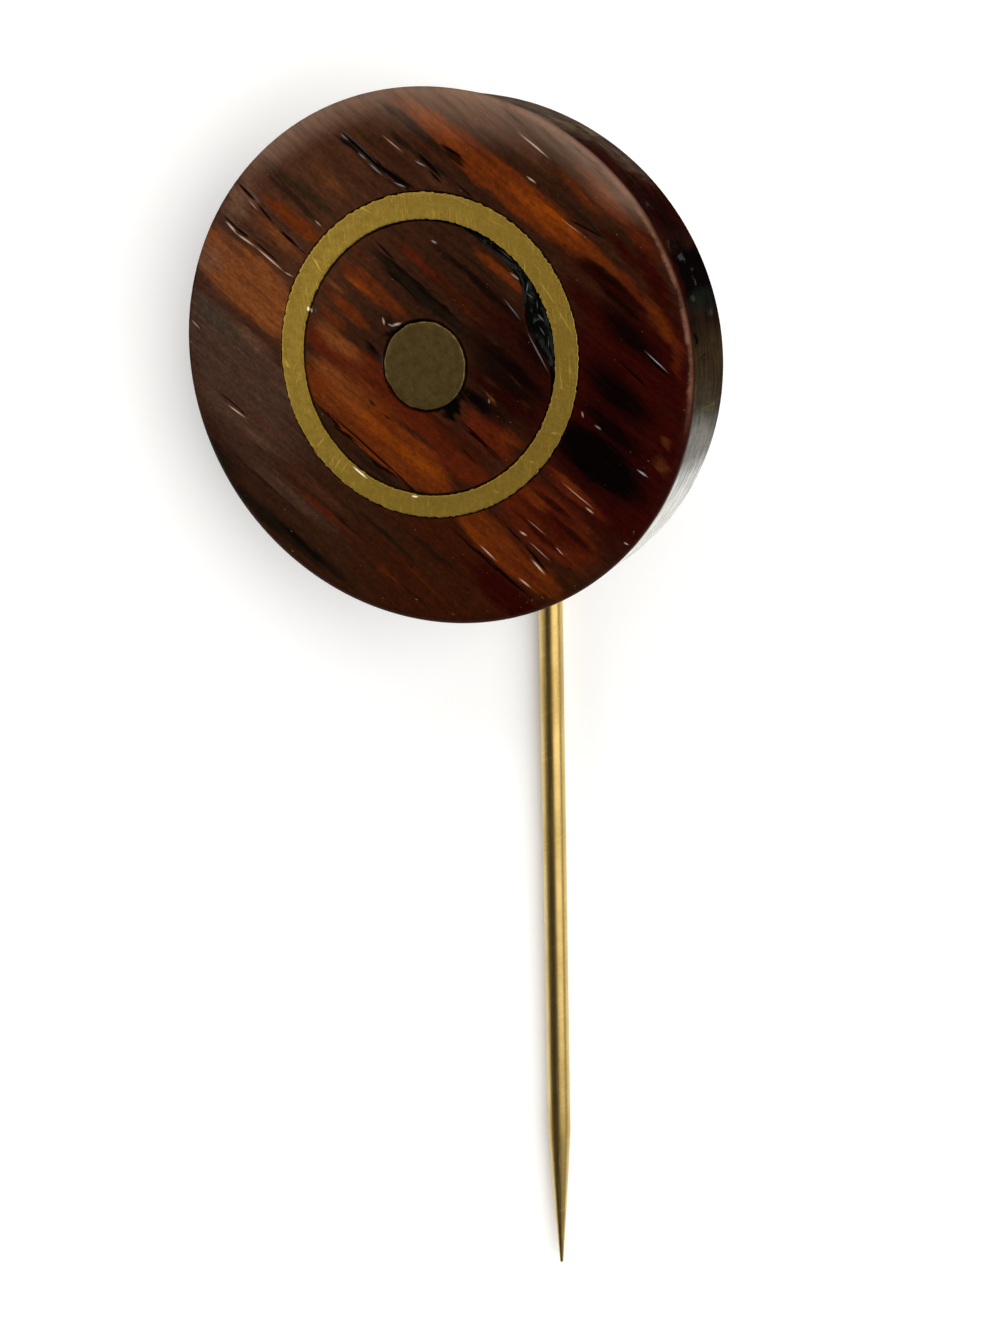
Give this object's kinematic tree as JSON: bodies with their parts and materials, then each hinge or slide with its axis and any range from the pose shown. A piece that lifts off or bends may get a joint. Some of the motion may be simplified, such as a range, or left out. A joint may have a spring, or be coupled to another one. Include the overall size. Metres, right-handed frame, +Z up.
{
  "type": "stick pin",
  "caption": "Stick pin with an oval polished wooden disc, an inlaid metal ring and dot, and a long straight pointed wire on a round pad.",
  "frame": {"origin": "centre of the bounding box at the surface that the pin lies on", "axes": "+Y along the pin from its point to the top of the disc, +Z up, the disc's polished face upwards and rolled a little towards -X"},
  "size_m": [0.0198, 0.051, 0.0102],
  "materials": {
    "dark_wood": "polished",
    "ring_brass": "fine scratched satin",
    "dot_brass": "dull, tarnished",
    "black_resin": "glossy",
    "gold_wire": "polished"
  },
  "bodies": {
    "root": {"wooden_head": "dark_wood", "inlay_ring": "ring_brass", "inlay_dot": "dot_brass", "black_filler": "black_resin", "pin_stem": "gold_wire"}
  },
  "joints": []
}
